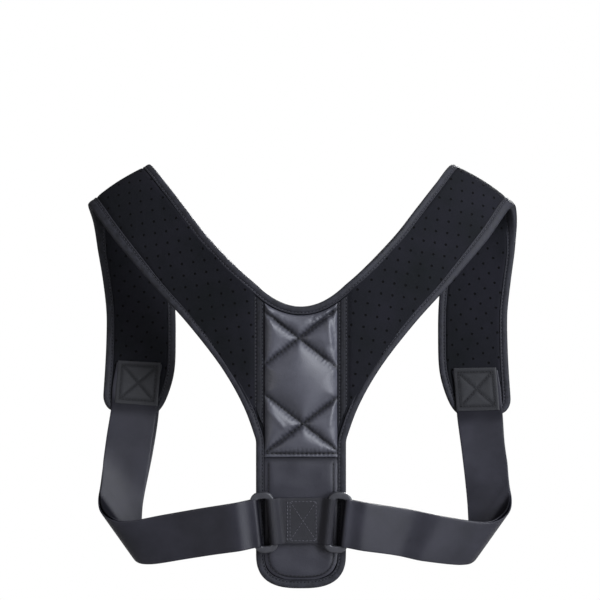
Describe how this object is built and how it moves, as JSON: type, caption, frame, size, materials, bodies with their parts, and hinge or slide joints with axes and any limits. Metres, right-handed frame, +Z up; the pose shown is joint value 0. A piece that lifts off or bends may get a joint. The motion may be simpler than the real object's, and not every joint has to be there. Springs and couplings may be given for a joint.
{
  "type": "upper back brace",
  "caption": "Upper back posture brace: a quilted spine panel carries padded shoulder straps whose ends are drawn back to the panel's tail by webbing run through rings.",
  "frame": {"origin": "middle of the line on which the wearer's shoulders carry the two strap loops, between their crests", "axes": "+X to the wearer's right, +Y the way the wearer faces, +Z up; the quilted back faces -Y"},
  "size_m": [0.4508, 0.1155, 0.4276],
  "materials": {
    "padding": "matte perforated padding, near black",
    "binding": "matte folded edge tape, dark grey",
    "leather": "satin coated leather look, dark grey",
    "webbing": "ribbed elastic webbing, black",
    "plastic": "moulded black plastic"
  },
  "bodies": {
    "root": {"spine_panel": "padding", "quilted_pad": "leather", "tail_pad": "leather", "neck_binding": "binding", "body_binding": "binding", "ring_holder": "webbing", "shoulder_strap_left": "padding", "seam_tape_left": "binding", "webbing_left": "webbing", "strap_patch_left": "leather", "ring_left": "plastic", "shoulder_strap_right": "padding", "seam_tape_right": "binding", "webbing_right": "webbing", "strap_patch_right": "leather", "ring_right": "plastic"}
  },
  "joints": []
}
